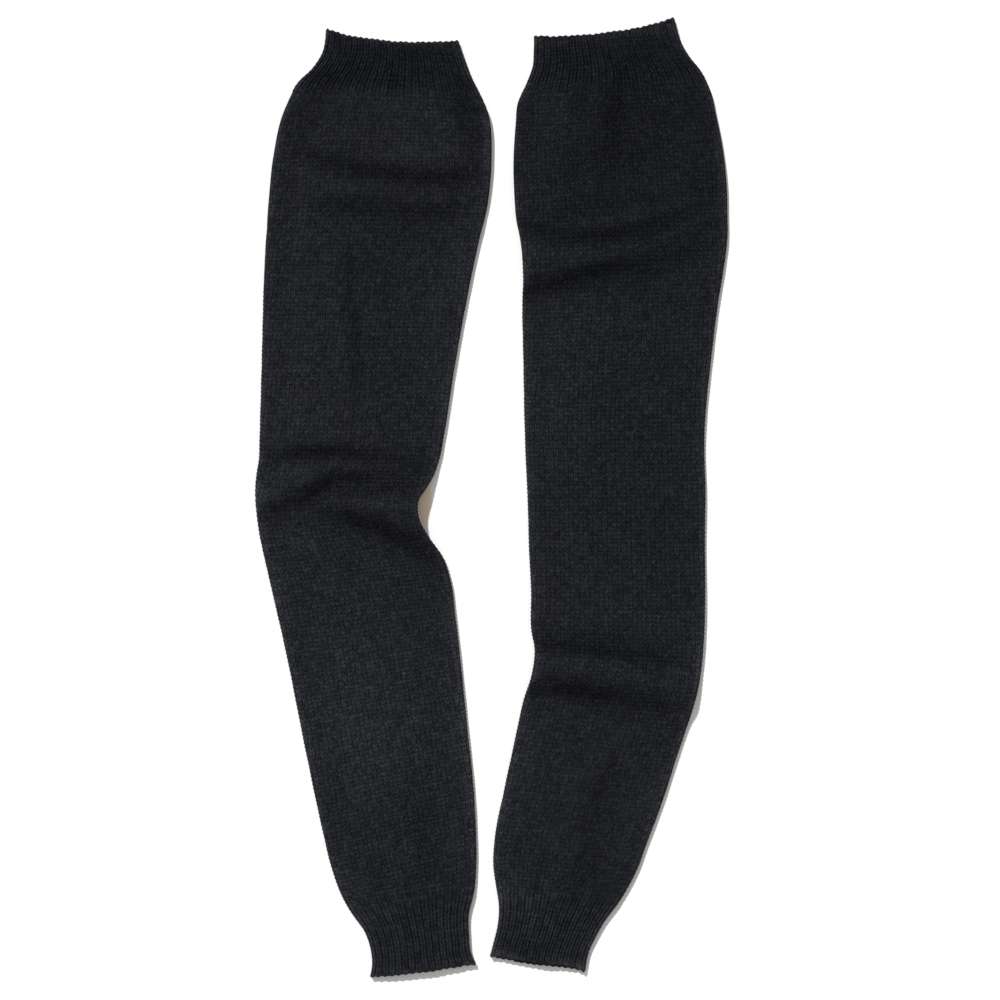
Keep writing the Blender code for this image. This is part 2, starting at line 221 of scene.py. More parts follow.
RIGHT_SECTIONS = records(Section, (
    (71.3, 294.3, 89.2, 6.5),
    (73.3, 283, 93.6, 4),
    (75.5, 274.5, 99.2, 3.5),
    (77.2, 264.5, 110.5, 4),
    (77.5, 252.5, 122, 3.5),
    (78.5, 238, 126.8, 3),
    (79.9, 218.5, 131.9, 2.5),
    (81.6, 190, 134.6, 2.3),
    (82.4, 176, 133.4, 2),
    (83.6, 165, 131.3, 2),
    (83.3, 142, 126.9, 2),
    (81.4, 122, 124, 1.8),
    (79.9, 94.5, 119.9, 1.5),
    (77.9, 30, 113, 0.5),
    (78.9, 5, 112.6, 0.5),
    (79.2, -30, 111.2, 0.5),
    (80, -60, 110.1, 0),
    (79.7, -81.5, 109.8, -0.5),
    (80.2, -100, 106.1, -2.5),
    (78.2, -114.5, 106, -3.5),
    (73.6, -130.5, 106.4, -4.5),
    (66.5, -156, 103.5, -5),
    (57.4, -190, 100, -4.3),
    (50, -216, 95.8, -3.5),
    (46.6, -232, 91.2, -3),
    (41.9, -250.5, 78, -6.5),
    (38.2, -262.5, 67.6, -7.5),
    (34.6, -274, 62.2, -7.5),
    (31.4, -283.5, 60.6, -6),
    (29.3, -292.5, 61, -6.5),
))

# A soft ridge: its crest's ends, its bow to the left of the way from start to end, its height
# at each end, and the half widths of its gentle side (left) and of its steep side (right).
Fold = namedtuple("Fold", "start_x start_y end_x end_y bow rise end_rise gentle steep")

LEFT_FOLDS = records(Fold, (
    (-132, 229, 6, 211, -12, 6.2, 7.2, 32, 8.5),  # under the top, first
    (-126, 193, 0, 189, -5.5, 4.4, 6, 19, 8.5),   # under the top, second
    (-150, 28, -38, 25, 8, 6, 6.2, 26, 7.5),      # above the knee
    (-168, -23, -52, 17.5, 14, 4.8, 6.6, 10, 8),  # round the knee
    (-96, 13, -34, 19.5, 0, 4.4, 4.4, 16, 8.5),   # above the notch
    (-128, 4, -14, -38, 4, 6.4, 7.8, 13, 8.5),    # into the notch
    (-84, 56, -95, 182, 0, 2, 2.2, 13, 5),        # down the thigh
    (-126, -8, -82, -27, 0, 1.8, 1.8, 7, 5),      # wrinkle under the knee
    (-138, -28, -88, -42, 0, 2.2, 2, 5.5, 6),     # wrinkle below that
    (-4, 220, -46, 274, 0, 3, 2.2, 12, 7),        # shoulder beside the top
))

RIGHT_FOLDS = records(Fold, (
    (-12, 189, 146, 202, -24, 6.4, 6.8, 34, 9),    # under the top, first
    (-14, 127, 150, 168, 2, 7, 5, 24, 9),          # under the top, second
    (-12, -78, 142, -101, -1, 6.2, 4.6, 32, 8.5),  # over the calf, first
    (-12, -112, 146, -133, 4, 6.6, 5.4, 15, 8.5),  # over the calf, second
    (72, 172, 90, 304, 7, 2, 3.6, 14, 7.5),        # down from the top
    (47, 182, 40, 222, -4, 1.2, 1.2, 10, 5),       # beside it
    (30, -304, 66, -160, 0, 1.8, 2.4, 13, 8),      # down the ankle
    (22, -226, 44, -227, 0, 1.4, 1.4, 6, 4.5),     # dimple over the ankle
))

# A place where both layers stand clear of the surface: its middle, height and half width
Lift = namedtuple("Lift", "x y rise spread")

# How an open end leaves its section's line: how far the middle draws in, how far each corner
# reaches out, and how far the front layer ends short of the back one
Mouth = namedtuple("Mouth", "dip left_ear right_ear front_short")

# A place painted lighter or darker: mostly painted shade in valleys and creases and on slopes
# that face away from the key light, painted light on crests and edges, and some tone that
# differs from place to place. Its middle, half length, half width, turn from +X in degrees,
# and how many times lighter it is in the middle
Patch = namedtuple("Patch", "x y long wide turn tone")

LEFT_PATCHES = records(Patch, (
    (-62, 279, 60, 17, -3, 0.54),      # ribbed top
    (-62, 262, 58, 9, -4, 0.58),       # its lower half
    (-58, 286.5, 24, 3.4, -4, 2.50),   # back layer at its mouth
    (-98, 287, 8, 6, 0, 0.80),         # corner of it
    (-104, 259, 15, 9, 40, 0.60),      # shoulder, outer side
    (-117, 232, 24, 9, 75, 0.67),      # below that
    (-104, 215, 18, 7, 0, 0.78),       # over the first valley
    (-82, 234, 26, 14, 0, 0.86),       # under the top
    (-48, 249, 13, 6, 20, 1.28),       # inner half under the top
    (-35, 260, 8, 5, 0, 1.25),         # ends of the ribs there
    (-20, 250, 20, 9, -55, 0.60),      # shoulder, inner side
    (-15, 230, 20, 8, -75, 0.76),      # below it
    (-3, 222, 22, 2.2, 90, 1.60),      # edge below it
    (-56, 205, 48, 8, -2, 0.76),       # under the top, first valley
    (-43, 200, 20, 5, 0, 0.78),        # its inner half
    (-76, 187.5, 30, 4.5, 0, 0.62),    # second valley
    (-74, 206, 34, 6, 2, 0.88),        # over it
    (-117, 206, 14, 8, -60, 1.25),     # outer end of the first crest
    (-60, 164, 26, 9, 0, 0.84),        # below the second crest
    (-70, 140, 18, 13, 0, 0.85),       # middle of the thigh
    (-56, 215, 12, 4.5, 0, 1.28),      # crest between them
    (-120, 165, 18, 7, 90, 1.20),      # outer side under the top
    (-14, 178, 34, 8, 82, 1.20),       # inner side under the top
    (-22, 137, 15, 9, 80, 1.14),       # below that
    (-122, 92, 44, 20, 90, 1.22),      # outer side of the thigh
    (-33, 92, 66, 13, 86, 1.22),       # inner side of the thigh
    (-88, 104, 48, 4, 93, 0.72),       # crease down the thigh
    (-93, 72, 26, 4, 92, 1.12),        # beside it
    (-78, 52, 22, 15, 0, 0.90),        # above the knee
    (-97, 27, 34, 6, -2, 0.64),        # knee, first valley
    (-81, 24.5, 11, 5, -20, 0.78),     # its inner end
    (-107, 7, 17, 5.5, 42, 0.50),      # round the knee
    (-111.5, 3.5, 8, 4.5, 60, 0.62),   # deepest part of that
    (-90, 14, 16, 4.5, 2, 0.56),       # its inner end
    (-72, 11, 12, 4, 0, 1.55),         # crest above the notch
    (-78, 4, 24, 4, 0, 0.62),          # valley under it
    (-46, 16, 13, 6, 50, 0.78),        # slope beside the notch
    (-49, -3, 14, 7, 90, 0.58),        # edge of the notch
    (-72, -4.5, 22, 3, -10, 1.30),     # crest over the notch's fold
    (-86, -11.5, 11, 4.5, -15, 0.68),  # outer end of the notch's fold
    (-68, -14, 28, 6.5, -22, 0.66),    # into the notch
    (-137, 0, 14, 4, 5, 1.30),         # tip of the knee
    (-145, -12, 12, 6, 95, 1.50),      # below that
    (-134, -17, 9, 5, 20, 0.80),       # valley beside it
    (-42, -30, 9, 5, -40, 1.35),       # under the notch
    (-38, -40, 9, 6, 90, 0.82),        # below that
    (-80, -17.5, 16, 4, -12, 0.74),    # lower edge of the notch's fold
    (-54, -30, 22, 4.5, -34, 0.66),    # its inner part
    (-110, -36, 22, 10, 110, 1.20),    # outer half below the knee
    (-78, -122, 72, 50, 103, 1.38),    # calf
    (-84, -156, 34, 18, 100, 1.18),    # its middle
    (-132, -52, 34, 10, 105, 1.20),    # outer side below the knee
    (-60, -80, 18, 12, 0, 0.86),       # middle below the knee
    (-22, -138, 54, 8, 97, 1.32),      # its inner side
    (-43, -212, 38, 9, 98, 0.82),      # crease over the ankle
    (-19, -222, 26, 6, 92, 1.24),      # beside it
    (-86, -246, 26, 10, 125, 1.28),    # outer side over the ankle
    (-40, -262, 13, 10, 0, 0.95),      # ribbed ankle
    (-14.5, -266, 16, 3.5, 90, 0.72),  # its inner edge
    (-52, -297, 34, 2.5, 8, 1.30),     # its mouth
))

RIGHT_PATCHES = records(Patch, (
    (74, 278, 60, 17, 5, 0.54),        # ribbed top
    (38, 272, 13, 8, 0, 0.84),         # its inner corner
    (76, 291, 34, 3, 6.5, 1.70),       # back layer at its mouth
    (66, 260, 44, 9, 5, 0.80),         # its lower half
    (108, 265, 32, 9, 8, 0.80),        # its lower corner
    (84, 216, 62, 40, 8, 0.54),        # below it
    (75, 246, 24, 7, 90, 0.58),        # crease down from the top
    (102, 245, 34, 9, 4, 0.82),        # outer half under the ribs
    (55, 251, 20, 6, 90, 0.74),        # crease beside it
    (70, 208, 17, 5, 85, 0.74),        # lower part of the first one
    (42, 242, 13, 8, 90, 1.30),        # inner side under the top
    (94, 232, 14, 10, 0, 1.20),        # middle under the top
    (130, 240, 18, 9, -70, 0.80),      # outer side under the top
    (14.5, 205, 15, 4.5, 90, 0.56),    # inner edge under the top
    (18, 238, 11, 5, 80, 0.80),        # above that
    (48, 204, 13, 8, 90, 0.80),        # inner half under the top
    (64, 182, 48, 8, 6, 0.64),         # slope over the first fold
    (106, 188, 28, 6, 10, 0.82),       # its outer part
    (134, 170, 11, 9, 90, 0.80),       # outer edge of the fold
    (48, 174, 15, 5, 4, 0.82),         # its inner part
    (122, 184, 11, 3.5, 25, 1.50),     # crest of it
    (72, 164, 40, 6, 5, 0.66),         # slope over the second fold
    (110, 160, 22, 6, 12, 0.84),       # its outer part
    (96, 152, 38, 3, 10, 1.25),        # crest of it
    (62, 143, 36, 6.5, 4, 0.58),       # its inner part
    (39, 131, 17, 5, 8, 0.62),         # under that
    (88, 137, 36, 8, 10, 0.78),        # under it
    (102, 124, 38, 9, 5, 0.86),        # below that
    (95, 20, 105, 30, 90, 0.88),       # outer half of the knee
    (42, 72, 56, 20, 90, 1.13),        # inner side of the thigh
    (70, -88, 46, 6.5, -5, 0.67),      # calf, first valley
    (76, -97, 34, 5, -4, 0.72),        # slope under it
    (50, -117, 25, 6.5, -11, 0.46),    # calf, second valley
    (84, -120.5, 32, 5, -3, 0.60),     # its outer part
    (125, -102, 14, 11, 90, 1.54),     # outer side between them
    (121, -133, 11, 5.5, 20, 1.50),    # outer side below
    (18, -176, 34, 9, 72, 1.40),       # inner side of the calf
    (70, -181, 19, 9, 60, 0.76),       # crease down the ankle
    (97, -194, 26, 6.5, 66, 1.36),     # beside it
    (62, -236, 16, 8, 70, 0.78),       # dimples over the ankle
    (34, -228, 7, 7, 0, 0.80),         # the one beside them
    (10, -244, 14, 8, 90, 1.45),       # inner side over the ankle
    (20, -262, 17, 11, 90, 1.19),      # ribbed ankle, inner half
    (48, -268, 12, 12, 0, 0.90),       # its outer half
    (17, -279, 10, 7, 0, 0.76),        # its inner corner
    (48, -293.5, 15, 2.6, -10, 1.90),  # back layer at its mouth
    (6, -287.5, 12, 3, -10, 1.90),     # inner end of the mouth
))

Warmer = namedtuple("Warmer", "side sections folds lifts patches top_mouth ankle_mouth")

PAIR = (
    Warmer(
        "left", LEFT_SECTIONS, LEFT_FOLDS, (Lift(-43.0, -5.0, 8.0, 15.0),), LEFT_PATCHES,
        Mouth(1.8, 2.8, 1.2, 1.4), Mouth(-1.1, 0.0, 0.5, 0.3),
    ),
    Warmer(
        "right", RIGHT_SECTIONS, RIGHT_FOLDS, (), RIGHT_PATCHES,
        Mouth(2.0, 1.2, 2.8, 0.4), Mouth(-1.6, 0.0, 2.4, 1.6),
    ),
)


def smoothstep(x):
    """0 below 0, 1 above 1, and the cubic x * x * (3 - 2 * x) between."""
    x = np.clip(x, 0.0, 1.0)
    return x * x * (3.0 - 2.0 * x)


def distances(sections):
    """Distance of each section down the middle line of its tube."""
    middles = np.array([(row.x, row.y) for row in sections])
    return np.concatenate([[0.0], np.cumsum(np.hypot(*np.diff(middles, axis=0).T))])


def smooth_sections(sections, at):
    """Section values at the distances 'at', on a cubic through the table's rows.

    The slope at a row is the mean of the slopes of its two spans, each weighed by the
    length of the other one.
    """
    rows = np.array(sections, float)
    knots = distances(sections)
    spans = np.diff(knots)
    slopes = np.diff(rows, axis=0) / spans[:, None]
    tangents = np.empty_like(rows)
    before, after = spans[:-1, None], spans[1:, None]
    tangents[1:-1] = (slopes[:-1] * after + slopes[1:] * before) / (before + after)
    tangents[0], tangents[-1] = slopes[0], slopes[-1]
    span = np.clip(np.searchsorted(knots, at, side="right") - 1, 0, len(spans) - 1)
    t = ((at - knots[span]) / spans[span])[:, None]
    length = spans[span][:, None]
    return (
        (2 * t**3 - 3 * t**2 + 1) * rows[span]
        + (t**3 - 2 * t**2 + t) * length * tangents[span]
        + (3 * t**2 - 2 * t**3) * rows[span + 1]
        + (t**3 - t**2) * length * tangents[span + 1]
    )


def half_round(sections, at):
    """Half the way round the tube at each distance, and the half width of its flat front.

    The half way round is two flat halves and half a circle with the side fold's reach.
    """
    front = smooth_sections(sections, at)[:, 2] / 2 - SIDE_FOLD
    return 2 * front + math.pi * SIDE_FOLD, front


def fold_height(x, y, folds):
    """Height that the soft ridges add to the front layer at the points x, y.

    Across its crest a ridge is a bell curve with its own width on each side. Along it, the
    height runs from one end's value to the other's and dies out at both ends.
    """
    total = np.zeros_like(x)
    for fold in folds:
        way_x, way_y = fold.end_x - fold.start_x, fold.end_y - fold.start_y
        length = math.hypot(way_x, way_y)
        way_x, way_y = way_x / length, way_y / length
        along = (x - fold.start_x) * way_x + (y - fold.start_y) * way_y
        share = np.clip(along / length, 0.0, 1.0)
        crest = fold.bow * 4.0 * share * (1.0 - share)
        across = (y - fold.start_y) * way_x - (x - fold.start_x) * way_y - crest
        width = np.where(across > 0.0, fold.gentle, fold.steep)
        fade = min(FOLD_FADE, length / 2)
        ends = smoothstep(along / fade) * smoothstep((length - along) / fade)
        height = fold.rise + (fold.end_rise - fold.rise) * share
        total += height * ends * np.exp(-((across / width) ** 2))
    return total


def lift_height(x, y, lifts):
    """Height of the back layer over the surface: a round bell for each lift."""
    total = np.zeros_like(x)
    for lift in lifts:
        total += lift.rise * np.exp(-((x - lift.x) ** 2 + (y - lift.y) ** 2) / lift.spread**2)
    return total


def painted_shade_and_tone(points, arc, whole, patches):
    """How many times lighter each point is painted.

    Each patch is a soft bell of painted shade, painted light or tone. Both sides of the tube get
    a painted sheen, as of fibres that catch light, and 'whole' is half the way round at each
    row, so a side's edge is at half of it.
    """
    total = 1 + PAINTED_EDGE_SHEEN * np.exp(-(((np.abs(arc) - whole / 2) / EDGE_SPREAD) ** 2))
    for patch in patches:
        way_x, way_y = math.cos(math.radians(patch.turn)), math.sin(math.radians(patch.turn))
        x = points[:, :, 0] + PAIR_MIDDLE[0] - patch.x
        y = points[:, :, 1] + PAIR_MIDDLE[1] - patch.y
        along = (x * way_x + y * way_y) / patch.long
        across = (y * way_x - x * way_y) / patch.wide
        total *= 1 + (patch.tone - 1) * np.exp(-(along**2) - across**2)
    return total


def mouth_reach(mouth, flat, level):
    """How far the points of a ring at an open end reach past its section's line.

    'flat' runs from -1 at the left side to 1 at the right one, and 'level' from 0 on the back
    layer to 1 on the front one. An ear is a high power of the way across, the dip a parabola,
    and the front layer ends short except close to the sides.
    """
    left = mouth.left_ear * ((1 - flat) / 2) ** EAR_POWER
    right = mouth.right_ear * ((1 + flat) / 2) ** EAR_POWER
    short = mouth.front_short * level * (1 - flat**8)
    return left + right - mouth.dip * (1 - flat**2) - short


def tube_points(warmer, at, arc, depth):
    """Points of a flattened tube, rows by columns by x, y, z.

    'at' is each row's distance down the tube and 'arc' each point's signed distance round it
    from the middle of the front. A point goes along the flat front, then round the side fold
    by an angle that grows with the arc, then back along the underside. 'depth' is each row's
    share of the way from the outer face of the cloth (0) to the inner one (1).
    """
    values = smooth_sections(warmer.sections, at)
    centre_x, centre_y, width, turn = (values[:, [i]] for i in range(4))
    turn = np.radians(turn)
    depth = depth[:, None]
    front = width / 2 - SIDE_FOLD
    side = math.pi * SIDE_FOLD
    gone = np.abs(arc)
    angle = np.clip((gone - front) / side, 0, 1) * math.pi
    reach = SIDE_FOLD + (INNER_FOLD - SIDE_FOLD) * depth
    on_layer = np.where(gone < front, gone, np.clip(2 * front + side - gone, 0, front))
    off = np.sign(arc) * (on_layer + reach * np.sin(angle))
    flat = np.sign(arc) * on_layer / front
    level = (1 + np.cos(angle)) / 2
    end = distances(warmer.sections)[-1]
    top_share = np.clip(1 - at / MOUTH_FADE, 0, 1)[:, None] ** 2
    ankle_share = np.clip(1 - (end - at) / MOUTH_FADE, 0, 1)[:, None] ** 2
    out = top_share * mouth_reach(warmer.top_mouth, flat, level)
    out = out - ankle_share * mouth_reach(warmer.ankle_mouth, flat, level)
    x = centre_x + off * np.cos(turn) - out * np.sin(turn)
    y = centre_y + off * np.sin(turn) + out * np.cos(turn)
    under = lift_height(x, y, warmer.lifts)
    over = under + 2 * WALL + SLIT + CROWN * (1 - flat**2) + fold_height(x, y, warmer.folds)
    under, over = under + WALL * depth, over - WALL * depth
    z = under + level * (over - under)
    return np.stack([x - PAIR_MIDDLE[0], y - PAIR_MIDDLE[1], z], axis=2)


def outward(points):
    """Unit normals of a grid whose columns close on themselves, outward of its solid."""
    down = np.gradient(points, axis=0)
    across = np.roll(points, -1, axis=1) - np.roll(points, 1, axis=1)
    normal = np.cross(down, across)
    return normal / np.maximum(np.linalg.norm(normal, axis=2, keepdims=True), 1e-9)


def stitch_relief(wale, course, kind):
    """Height, 0 to 1, of stocking stitch at a place counted in wales and courses.

    Two rounded strands run up each wale and lean apart, so that each stitch is a V. A strand
    is a half sine along the yarn and a parabola across, and the lean shifts it by LEAN courses.
    """
    out = np.abs(2 * (wale % 1.0) - 1)
    along = (-course - LEAN * out) % 1.0
    loop = kind.drawn + (1 - kind.drawn) * np.sin(math.pi * along) ** LOOP_ROUND
    return loop * (1 - (kind.parted * out - kind.parted + 1) ** 2)


def put_mesh(name, points, uv, nap, material):
    """Make a smooth mesh object from a ring-shaped grid of points in millimetres.

    The last row joins the first and the last column joins the first, so the piece is a closed
    body, and the UV grid has one more column than the points. 'nap' holds the values that the
    material reads as attributes: Tone, with its painted shade and light, and Clear.
    """
    rows, columns = points.shape[:2]
    row, column = np.meshgrid(np.arange(rows), np.arange(columns), indexing="ij")
    corners = [(row, column), (row + 1, column), (row + 1, column + 1), (row, column + 1)]
    faces = np.stack([r % rows * columns + c % columns for r, c in corners], 2).reshape(-1, 4)
    loops = np.stack([uv[np.minimum(r, rows - 1), c] for r, c in corners], 2).reshape(-1, 2)
    mesh = bpy.data.meshes.new(name)
    mesh.vertices.add(rows * columns)
    mesh.vertices.foreach_set("co", (points.reshape(-1) * MM).astype(np.float32))
    mesh.loops.add(faces.size)
    mesh.loops.foreach_set("vertex_index", faces.reshape(-1).astype(np.int32))
    mesh.polygons.add(len(faces))
    mesh.polygons.foreach_set("loop_start", np.arange(0, faces.size, 4, dtype=np.int32))
    mesh.update(calc_edges=True)
    mesh.validate()
    layer = mesh.uv_layers.new(name="UVMap")
    layer.data.foreach_set("uv", loops.reshape(-1).astype(np.float32))
    for attribute, values in nap.items():
        values = np.broadcast_to(values, (rows, columns)).reshape(-1)
        data = mesh.attributes.new(attribute, "FLOAT", "POINT").data
        data.foreach_set("value", values.astype(np.float32))
    mesh.shade_smooth()
    mesh.materials.append(material)
    piece = bpy.data.objects.new(name, mesh)
    bpy.context.scene.collection.objects.link(piece)
    return piece


def math_method(operation):
    """A method that adds one Math node, fed by the object itself and by any other values."""
    return lambda self, *others: self.math(operation, self, *others)


class Sum:
    """A shader socket that adds Math nodes when Python operators are used on it."""

    def __init__(self, tree, socket):
        self.tree = tree
        self.socket = socket

    def math(self, operation, *values):
        node = self.tree.add("ShaderNodeMath", {"operation": operation}, values)
        return Sum(self.tree, node.outputs[0])

    def __rsub__(self, other):
        return self.math("SUBTRACT", other, self)

    __add__ = math_method("ADD")
    __sub__ = math_method("SUBTRACT")
    __mul__ = math_method("MULTIPLY")
    __pow__ = math_method("POWER")
    fraction = math_method("FRACT")
    size = math_method("ABSOLUTE")
    sine = math_method("SINE")
    at_least = math_method("MAXIMUM")

    def spread(self, low, high):
        """This value, 0 to 1, spread over the range from 'low' to 'high'."""
        return self * (high - low) + low

    def step(self, low, high):
        """A soft step of this value from 0 at 'low' to 1 at 'high'."""
        settings = {"interpolation_type": "SMOOTHSTEP"}
        values = {"Value": self, "From Min": low, "From Max": high}
        node = self.tree.add("ShaderNodeMapRange", settings, values)
        return Sum(self.tree, node.outputs["Result"])


class Finish:
    """A material's node tree, with one method for every kind of node."""

    def __init__(self, name):
        self.material = bpy.data.materials.new(name)
        self.material.use_nodes = True
        self.nodes = self.material.node_tree.nodes
        self.links = self.material.node_tree.links
        self.shader = self.nodes["Principled BSDF"]

    def feed(self, socket, value):
        """Link a value to a socket, or set it there."""
        if isinstance(value, Sum):
            value = value.socket
        if isinstance(value, bpy.types.NodeSocket):
            self.links.new(value, socket)
        else:
            socket.default_value = value

    def add(self, kind, settings, values):
        """Add a node, set its settings first, and then feed its sockets by name or in order."""
        node = self.nodes.new(kind)
        for name, value in settings.items():
            setattr(node, name, value)
        named = values.items() if isinstance(values, dict) else enumerate(values)
        for name, value in named:
            self.feed(node.inputs[name], value)
        return node

    def shade(self, values):
        """Feed the shader's own sockets by name."""
        for name, value in values.items():
            self.feed(self.shader.inputs[name], value)

    def uv(self):
        """The piece's own counts of wales or ribs, and of courses."""
        node = self.add("ShaderNodeUVMap", {"uv_map": "UVMap"}, {})
        split = self.add("ShaderNodeSeparateXYZ", {}, {0: node.outputs["UV"]})
        return Sum(self, split.outputs["X"]), Sum(self, split.outputs["Y"])

    def attribute(self, name):
        """One of the piece's own values, given to put_mesh."""
        node = self.add("ShaderNodeAttribute", {"attribute_name": name}, {})
        return Sum(self, node.outputs["Fac"])

    def chance(self, across, along):
        """A number from 0 to 1 that differs from stitch to stitch."""
        whole = {0: across.math("FLOOR", across), 1: along.math("FLOOR", along)}
        cell = self.add("ShaderNodeCombineXYZ", {}, whole).outputs["Vector"]
        settings = {"noise_dimensions": "2D"}
        node = self.add("ShaderNodeTexWhiteNoise", settings, {"Vector": cell})
        return Sum(self, node.outputs["Value"])

    def place(self):
        """Object coordinates, in metres."""
        return self.add("ShaderNodeTexCoord", {}, {}).outputs["Object"]

    def noise(self, where, kind):
        """Noise about 0.5, from a row of numbers that says what kind it is."""
        values = {"Scale": kind.scale, "Detail": kind.detail, "Roughness": kind.roughness}
        node = self.add("ShaderNodeTexNoise", {}, {"Vector": where, **values})
        return Sum(self, node.outputs["Fac"])

    def stretched(self, where, scale):
        """A vector multiplied by a scale for each axis."""
        node = self.add("ShaderNodeVectorMath", {"operation": "MULTIPLY"}, {0: where, 1: scale})
        return node.outputs["Vector"]

    def reach(self, where, middle, radius):
        """A share that falls from 1 at a place to 0 at a radius round it."""
        node = self.add("ShaderNodeVectorMath", {"operation": "DISTANCE"}, {0: where, 1: middle})
        return 1.0 - Sum(self, node.outputs["Value"]).step(radius * WARM_CORE, radius)

    def mix(self, share, first, second):
        """A colour between two, by a share from 0 to 1. A Mix node has its colours at 6 and 7."""
        node = self.add("ShaderNodeMix", {"data_type": "RGBA"}, {0: share, 6: first, 7: second})
        return node.outputs[2]

    def bump(self, height):
        """Feed the shader's normal from a height in metres."""
        values = {"Height": height, "Strength": 1.0, "Distance": 1.0}
        node = self.add("ShaderNodeBump", {}, values)
        self.shade({"Normal": node.outputs["Normal"]})


def drawn_stitches(finish, where, kind):
    """Height and tone of the stitches in a material, from the piece's UV map.

    The height is 0 to 1 and follows stitch_relief, on rows that noise sets off a little. Where
    the attribute Clear falls below 1, the stitches fade to an even height. The tone is lighter
    along a wale's crest, with painted shade on its flanks, and differs from stitch to stitch.
    """
    across, along = finish.uv()
    across = across + (finish.noise(where, ACROSS_NOISE) - 0.5) * kind.waver
    along = along + (finish.noise(where, ALONG_NOISE) - 0.5) * kind.waver
    out = (across.fraction() * 2.0 - 1.0).size()
    side = out * kind.parted - (kind.parted - 1.0)
    strand = (1.0 - side * side).at_least(0.0) ** DRAWN_ROUND
    course = along * -1.0 - out * LEAN
    loop = (course.fraction() * math.pi).sine() ** DRAWN_ROUND
    clear = finish.attribute("Clear")
    height = strand * loop.spread(kind.drawn, 1.0) * clear + (1.0 - clear) * 0.5
    crest = 1.0 - out.step(GROOVE_START, 1.0)
    chance = finish.chance(across, course)
    return height, crest.spread(*CREST_TONE) * chance.spread(*STITCH_TONE)


def yarn_finish(name, knit, kind):
    """Dull dark yarn: stitches from the UV map, fibres and lint from Object coordinates.

    The bump is the stitches plus a fine nap. The colour is the yarn's, with painted shade down
    in the grooves and the painted shade and light of the attribute Tone, cloudy over a few
    millimetres, with pale specks of lint.
    """
    finish = Finish(name)
    where = finish.place()
    stitch, tone = drawn_stitches(finish, where, kind)
    nap = finish.noise(where, NAP_NOISE)
    fibre = finish.noise(where, FIBRE_NOISE)
    cloud = finish.noise(where, CLOUD_NOISE)
    lint = finish.noise(finish.stretched(where, LINT_SHAPE), LINT_NOISE)
    finish.bump(stitch * (knit.stitch_depth * MM) + nap * (knit.nap_depth * MM))
    tone = tone * stitch.spread(1.0 - knit.groove_shade, 1.0)
    tone = tone * fibre.spread(*FIBRE_TONE) * cloud.spread(*CLOUD_TONE)
    # the attribute Tone brings in the painted shade and light of each piece
    tone = tone.at_least(DARKEST_TONE) * finish.attribute("Tone")
    values = {0: tuple(knit.yarn), 1: tone, 2: DYE}
    yarn = finish.add("ShaderNodeVectorMath", {"operation": "MULTIPLY_ADD"}, values)
    specks = lint.step(*LINT_EDGE) * knit.lint
    pale = (*knit.lint_colour, 1.0)
    finish.shade({
        "Base Color": finish.mix(specks, yarn.outputs["Vector"], pale),
        "Roughness": nap.spread(*NAP_ROUGHNESS),
        "Metallic": 0.0,
        "Specular IOR Level": YARN_SPECULAR,
        "Sheen Weight": knit.sheen,
        "Sheen Roughness": SHEEN_ROUGHNESS,
        "Sheen Tint": pale,
    })
    return finish.material


def wale_width(sections, at):
    """Width of a wale at each distance down the tube.

    It grows evenly from top to ankle, and is drawn in where the ribs gather the tube, so that
    the same wales stay on the front there.
    """
    end = distances(sections)[-1]
    width = WALE_AT_TOP + (WALE_AT_ANKLE - WALE_AT_TOP) * at / end
    _, front = half_round(sections, at)
    _, top = half_round(sections, np.array([TOP_GATHER]))
    _, ankle = half_round(sections, np.array([end - ANKLE_GATHER]))
    width = width * np.where(at < TOP_GATHER, front / top, 1.0)
    return width * np.where(at > end - ANKLE_GATHER, front / ankle, 1.0)


